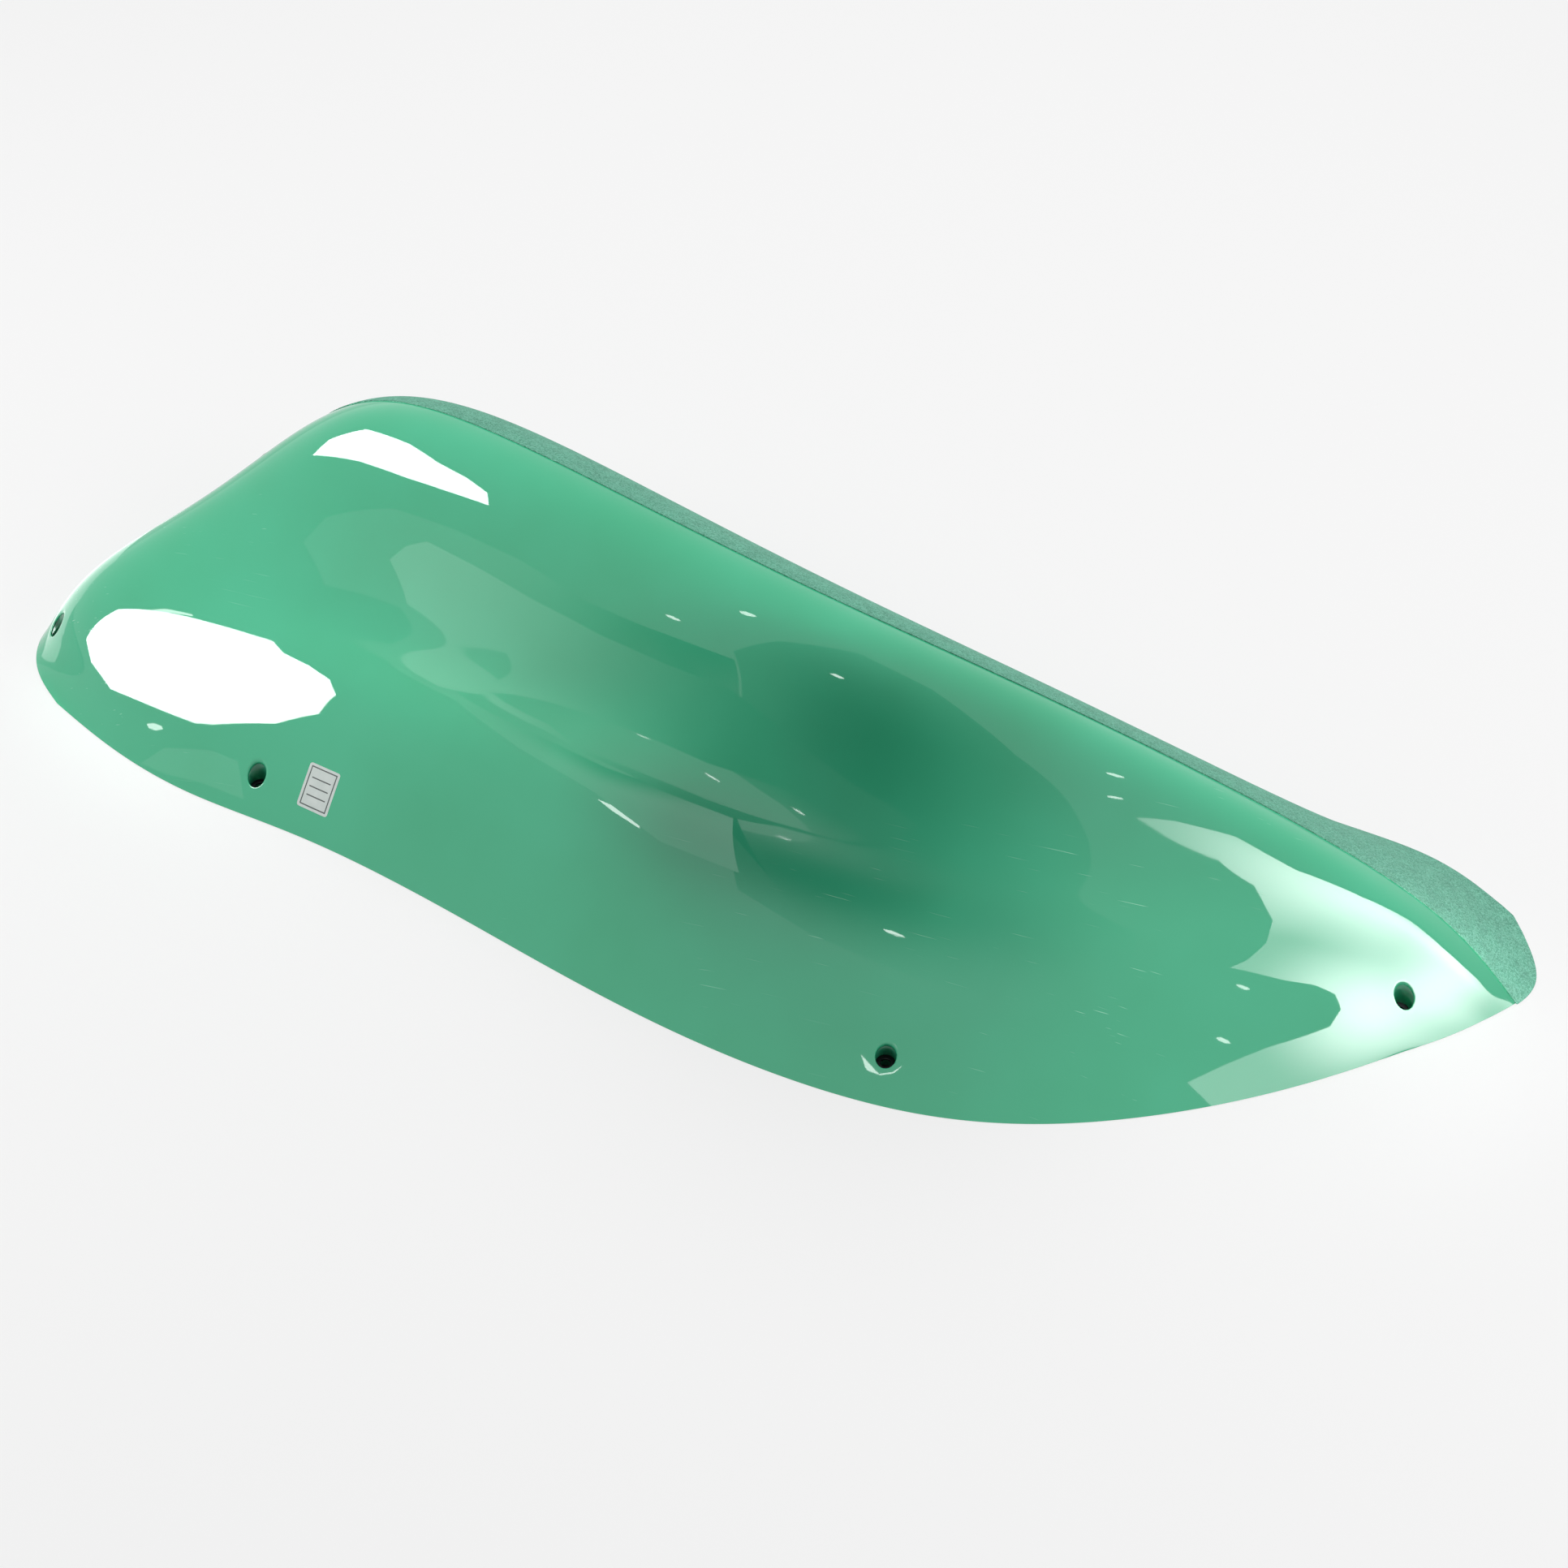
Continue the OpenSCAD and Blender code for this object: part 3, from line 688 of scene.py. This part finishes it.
# Washers. A zinc-plated steel washer lies on each well's floor under the screw head. It is stamped, so
# its edges are softly rounded on one side, and a black passivate over the zinc makes it nearly black.
washer_finish, tree = new_material("black_passivated_zinc_plated_steel")
place = add_node(tree, "ShaderNodeTexCoord")
brushed = add_node(tree, "ShaderNodeTexNoise", {"Scale": 900.0, "Detail": 2.0},
                   {"Vector": place.outputs["Object"]})
zinc = add_node(tree, "ShaderNodeValToRGB", {}, {"Fac": brushed.outputs["Fac"]})
zinc.color_ramp.elements[0].color = colour("#151617")
zinc.color_ramp.elements[1].color = colour("#2b2d2e")
shader = add_node(tree, "ShaderNodeBsdfPrincipled", {"Metallic": 1.0, "Roughness": 0.34},
                  {"Base Color": zinc.outputs["Color"]})
add_node(tree, "ShaderNodeOutputMaterial", {}, {"Surface": shader.outputs[0]})
stamped_edge = 0.0004
corner_depth = 0.0001
hole_bevel = 0.0003
for k, centre in enumerate(well_centres, 1):
    low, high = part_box(f"washer_{k}")
    radius = (high.x - low.x) / 2
    section = [(hole_radius, low.z), (radius, low.z), (radius, high.z - stamped_edge),
               (radius - corner_depth, high.z - corner_depth), (radius - stamped_edge, high.z),
               (hole_radius + hole_bevel, high.z), (hole_radius, high.z - hole_bevel)]
    washer = turned_piece(f"plain_washer_{k}", section, centre, 48)
    washer.data.materials.append(washer_finish)
    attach(washer, "root")
    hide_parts(f"washer_{k}")

# Ribs. Birch plywood boards stand across the hollow to stiffen it. Their sawn feet show nine plies,
# and their faces show long grain.
plywood_finish, tree = new_material("birch_plywood")
place = add_node(tree, "ShaderNodeTexCoord")
grain_way = add_node(tree, "ShaderNodeMapping", {"Scale": (1, 6, 90)}, {"Vector": place.outputs["Object"]})
grain = add_node(tree, "ShaderNodeTexNoise", {"Scale": 4.0, "Detail": 6.0, "Distortion": 1.2},
                 {"Vector": grain_way.outputs[0]})
face_grain = add_node(tree, "ShaderNodeValToRGB", {}, {"Fac": grain.outputs["Fac"]})
face_grain.color_ramp.elements[0].position = 0.35
face_grain.color_ramp.elements[0].color = colour("#b98f5f")
face_grain.color_ramp.elements[1].position = 0.68
face_grain.color_ramp.elements[1].color = colour("#e3c79c")
# Plies are 1.33 mm thick, in turn along and across the board
split = add_node(tree, "ShaderNodeSeparateXYZ", {}, {"Vector": place.outputs["Object"]})
ply = add_node(tree, "ShaderNodeMath", {"operation": "MULTIPLY", 1: 375.0}, {0: split.outputs["X"]})
ply_part = add_node(tree, "ShaderNodeMath", {"operation": "FRACT"}, {0: ply.outputs[0]})
dark_ply = add_node(tree, "ShaderNodeMath", {"operation": "GREATER_THAN", 1: 0.5}, {0: ply_part.outputs[0]})
way_up = add_node(tree, "ShaderNodeNewGeometry")
tilt = add_node(tree, "ShaderNodeSeparateXYZ", {}, {"Vector": way_up.outputs["Normal"]})
flat = add_node(tree, "ShaderNodeMath", {"operation": "ABSOLUTE"}, {0: tilt.outputs["X"]})
edge = add_node(tree, "ShaderNodeMath", {"operation": "LESS_THAN", 1: 0.5}, {0: flat.outputs[0]})
layers = add_node(tree, "ShaderNodeMath", {"operation": "MULTIPLY"},
                  {0: edge.outputs[0], 1: dark_ply.outputs[0]})
wood = add_node(tree, "ShaderNodeMix", {"data_type": "RGBA"}, {"Factor": layers.outputs[0]})
tree.links.new(face_grain.outputs["Color"], wood.inputs[6])
wood.inputs[7].default_value = colour("#8a6238")
fibre = add_node(tree, "ShaderNodeBump", {"Strength": 0.3, "Distance": 0.0004},
                 {"Height": grain.outputs["Fac"]})
shader = add_node(tree, "ShaderNodeBsdfPrincipled", {"Roughness": 0.68},
                  {"Base Color": wood.outputs[2], "Normal": fibre.outputs[0]})
add_node(tree, "ShaderNodeOutputMaterial", {}, {"Surface": shader.outputs[0]})

# Rib tapes. Woven glass tape wetted with resin bonds both faces of each rib to the shell. The weave
# has about one thread per 2 mm and stays pale where the resin is thin.
tape_finish, tree = new_material("woven_glass_tape_in_resin")
place = add_node(tree, "ShaderNodeTexCoord")
warp = add_node(tree, "ShaderNodeTexWave",
                {"wave_type": "BANDS", "bands_direction": "Y", "Scale": 160.0, "Distortion": 0.4},
                {"Vector": place.outputs["Object"]})
weft = add_node(tree, "ShaderNodeTexWave",
                {"wave_type": "BANDS", "bands_direction": "Z", "Scale": 160.0, "Distortion": 0.4},
                {"Vector": place.outputs["Object"]})
weave = add_node(tree, "ShaderNodeMath", {"operation": "MULTIPLY"},
                 {0: warp.outputs["Fac"], 1: weft.outputs["Fac"]})
thin = add_node(tree, "ShaderNodeTexNoise", {"Scale": 30.0, "Detail": 3.0},
                {"Vector": place.outputs["Object"]})
mixed = add_node(tree, "ShaderNodeMath", {"operation": "MULTIPLY_ADD", 1: 0.5},
                 {0: weave.outputs[0], 2: thin.outputs["Fac"]})
cloth = add_node(tree, "ShaderNodeValToRGB", {}, {"Fac": mixed.outputs[0]})
cloth.color_ramp.elements[0].position = 0.35
cloth.color_ramp.elements[0].color = colour("#7f9d83")
cloth.color_ramp.elements[1].position = 0.95
cloth.color_ramp.elements[1].color = colour("#cdd6bd")
threads = add_node(tree, "ShaderNodeBump", {"Strength": 0.5, "Distance": 0.0006},
                   {"Height": weave.outputs[0]})
shader = add_node(tree, "ShaderNodeBsdfPrincipled", {"Roughness": 0.42, "IOR": 1.54},
                  {"Base Color": cloth.outputs["Color"], "Normal": threads.outputs[0]})
add_node(tree, "ShaderNodeOutputMaterial", {}, {"Surface": shader.outputs[0]})
for k in (1, 2, 3):
    for name, finish in ((f"plywood_rib_{k}", plywood_finish), (f"rib_tape_{k}", tape_finish)):
        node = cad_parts[name]
        node.data.materials.clear()
        node.data.materials.append(finish)

# Label. A blank vinyl film is stuck on the near side beside the second well. Its corners are rounded,
# and it is printed only with a dark frame and three empty writing lines.
label_place = np.array([-0.287, -0.111])
label_size = (0.033, 0.026)
label_thickness = 0.00018
cells = 24
corner = 0.002
start = nearest_on_face(label_place)
point, along, over = on_face(*place_on_face(label_place, start))
n = outward(along, over)
down = np.array([0, 0, -1.0]) - n * -n[2]
down /= np.linalg.norm(down)
across_label = np.cross(down, n)
rows = []
for i in range(cells + 1):
    for j in range(cells + 1):
        x, y = (i / cells - 0.5) * label_size[0], (j / cells - 0.5) * label_size[1]
        ex, ey = abs(x) - (label_size[0] / 2 - corner), abs(y) - (label_size[1] / 2 - corner)
        if ex > 0 and ey > 0 and math.hypot(ex, ey) > corner:
            pull = corner / math.hypot(ex, ey)
            x = math.copysign(label_size[0] / 2 - corner + ex * pull, x)
            y = math.copysign(label_size[1] / 2 - corner + ey * pull, y)
        rows.append((x, y))
rows = np.array(rows)
flat_place = point + rows[:, :1] * down + rows[:, 1:] * across_label
uv = place_on_face(flat_place[:, :2], start)
count = (cells + 1) ** 2
verts = np.concatenate([under_face(uv[:, 0], uv[:, 1], -label_thickness),
                        under_face(uv[:, 0], uv[:, 1], 0.0)])
at = np.arange(count).reshape(cells + 1, cells + 1)
top = np.stack([at[:-1, :-1], at[1:, :-1], at[1:, 1:], at[:-1, 1:]], -1).reshape(-1, 4)
edge = np.concatenate([at[:-1, 0], at[-1, :-1], at[:0:-1, -1], at[0, :0:-1]])
side = np.stack([np.roll(edge, -1), edge, edge + count, np.roll(edge, -1) + count], -1)
label = add_mesh("blank_label", verts.tolist(), [],
                 np.concatenate([top, top[:, ::-1] + count, side]).tolist())
layer = label.data.uv_layers.new(name="print")
flat_uv = rows / label_size + 0.5
for loop in label.data.loops:
    layer.data[loop.index].uv = flat_uv[loop.vertex_index % count]
bpy.ops.object.mode_set(mode="EDIT")
bpy.ops.mesh.select_all(action="SELECT")
bpy.ops.mesh.normals_make_consistent(inside=False)
bpy.ops.object.mode_set(mode="OBJECT")
bpy.ops.object.shade_smooth_by_angle(angle=math.radians(35))
frame_inset_mm, frame_half_mm = 2.4, 0.45
writing_inset_mm, line_pitch_mm, line_half_share, middle_line = 5.0, 6.5, 0.07, 10.5
label_finish, tree = new_material("satin_printed_vinyl_film")
flat = add_node(tree, "ShaderNodeUVMap", {"uv_map": "print"})
centred = add_node(tree, "ShaderNodeVectorMath", {"operation": "SUBTRACT"}, {0: flat.outputs[0]})
centred.inputs[1].default_value = (0.5, 0.5, 0)
folded = add_node(tree, "ShaderNodeVectorMath", {"operation": "ABSOLUTE"}, {0: centred.outputs[0]})
sized = add_node(tree, "ShaderNodeVectorMath", {"operation": "MULTIPLY"}, {0: folded.outputs[0]})
sized.inputs[1].default_value = (label_size[0] * 1000, label_size[1] * 1000, 0)
parts = add_node(tree, "ShaderNodeSeparateXYZ", {}, {"Vector": sized.outputs[0]})
from_end = add_node(tree, "ShaderNodeMath", {"operation": "SUBTRACT", 0: label_size[0] * 500},
                    {1: parts.outputs["X"]})
from_side = add_node(tree, "ShaderNodeMath", {"operation": "SUBTRACT", 0: label_size[1] * 500},
                     {1: parts.outputs["Y"]})
from_edge = add_node(tree, "ShaderNodeMath", {"operation": "MINIMUM"},
                     {0: from_end.outputs[0], 1: from_side.outputs[0]})
ring = add_node(tree, "ShaderNodeMath", {"operation": "COMPARE", 1: frame_inset_mm, 2: frame_half_mm},
                {0: from_edge.outputs[0]})
# Three empty writing lines, 0.9 mm thick and 6.5 mm apart, the second across the middle
whole = add_node(tree, "ShaderNodeSeparateXYZ", {}, {"Vector": centred.outputs[0]})
step = add_node(tree, "ShaderNodeMath",
                {"operation": "MULTIPLY_ADD", 1: label_size[0] * 1000 / line_pitch_mm, 2: middle_line},
                {0: whole.outputs["X"]})
within = add_node(tree, "ShaderNodeMath", {"operation": "FRACT"}, {0: step.outputs[0]})
stroke = add_node(tree, "ShaderNodeMath", {"operation": "COMPARE", 1: 0.5, 2: line_half_share},
                  {0: within.outputs[0]})
inset = add_node(tree, "ShaderNodeMath", {"operation": "GREATER_THAN", 1: writing_inset_mm},
                 {0: from_edge.outputs[0]})
writing = add_node(tree, "ShaderNodeMath", {"operation": "MULTIPLY"},
                   {0: stroke.outputs[0], 1: inset.outputs[0]})
ink = add_node(tree, "ShaderNodeMath", {"operation": "MAXIMUM"}, {0: ring.outputs[0], 1: writing.outputs[0]})
# The film is satin and near white, a little greyer in soft patches where it has been handled
fade = add_node(tree, "ShaderNodeTexNoise", {"Scale": 3.0, "Detail": 4.0}, {"Vector": flat.outputs[0]})
film = add_node(tree, "ShaderNodeValToRGB", {}, {"Fac": fade.outputs["Fac"]})
film.color_ramp.elements[0].color = colour("#bfcbc6")
film.color_ramp.elements[1].color = colour("#dfe6e3")
printed = add_node(tree, "ShaderNodeMix", {"data_type": "RGBA"}, {"Factor": ink.outputs[0]})
tree.links.new(film.outputs["Color"], printed.inputs[6])
printed.inputs[7].default_value = colour("#3f4a48")
shader = add_node(tree, "ShaderNodeBsdfPrincipled", {"Roughness": 0.30, "IOR": 1.48},
                  {"Base Color": printed.outputs[2]})
add_node(tree, "ShaderNodeOutputMaterial", {}, {"Surface": shader.outputs[0]})
label.data.materials.append(label_finish)
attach(label, "root")
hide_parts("label")
